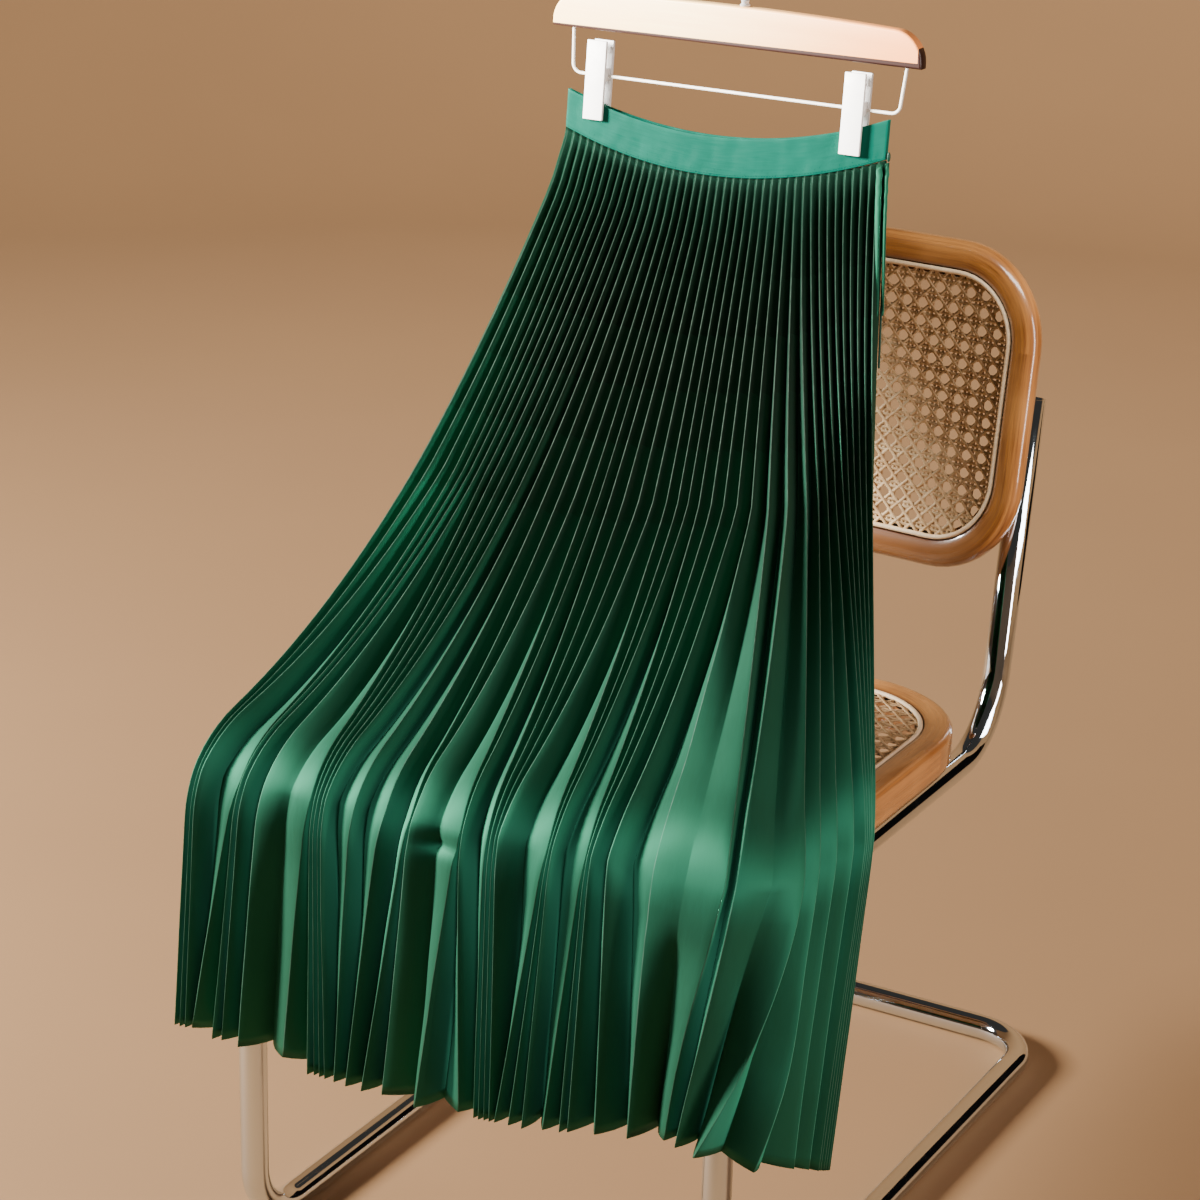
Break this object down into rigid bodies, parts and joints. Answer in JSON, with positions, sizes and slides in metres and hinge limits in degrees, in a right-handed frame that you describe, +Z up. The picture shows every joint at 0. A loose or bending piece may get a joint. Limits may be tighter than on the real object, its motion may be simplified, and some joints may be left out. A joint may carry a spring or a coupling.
{
  "type": "pleated midi skirt on a clip hanger, draped over a cantilever chair",
  "caption": "Flat-hung pleated satin midi skirt held by a clip hanger, falling over the front of a cane seat and back cantilever chair.",
  "frame": {"origin": "middle of the bounding box's base, on the floor under the chair", "axes": "+Z up, -Y the way the chair faces and the skirt falls, +X the sitter's left"},
  "size_m": [0.5396, 0.755, 1.0861],
  "materials": {
    "satin": "deep green satin with a soft sheen",
    "band": "green satin, lit lighter along the waistband",
    "pale_wood": "pale varnished wood",
    "white_wire": "white coated wire",
    "white_plastic": "white, semi-gloss",
    "chrome": "polished",
    "honey_wood": "honey brown varnish",
    "cane": "natural woven cane"
  },
  "bodies": {
    "root": {"front_panel": "satin", "back_panel": "satin", "waistband_front": "band", "waistband_back": "band", "side_zip": "satin", "zip_slider": "satin", "hanger_bar": "pale_wood", "hanger_hook": "chrome", "wire_left": "white_wire", "wire_right": "white_wire", "clip_rod": "white_wire", "clip_left_front": "white_plastic", "clip_left_back": "white_plastic", "clip_left_spring": "chrome", "clip_right_front": "white_plastic", "clip_right_back": "white_plastic", "clip_right_spring": "chrome", "upright_left": "chrome", "back_bend_left": "chrome", "seat_rail_left": "chrome", "front_bend_left": "chrome", "leg_left": "chrome", "foot_bend_left": "chrome", "runner_left": "chrome", "corner_bend_left": "chrome", "upright_right": "chrome", "back_bend_right": "chrome", "seat_rail_right": "chrome", "front_bend_right": "chrome", "leg_right": "chrome", "foot_bend_right": "chrome", "runner_right": "chrome", "corner_bend_right": "chrome", "rear_bar": "chrome", "seat_frame": "honey_wood", "seat_cane": "cane", "back_frame": "honey_wood", "back_cane": "cane"}
  },
  "joints": []
}
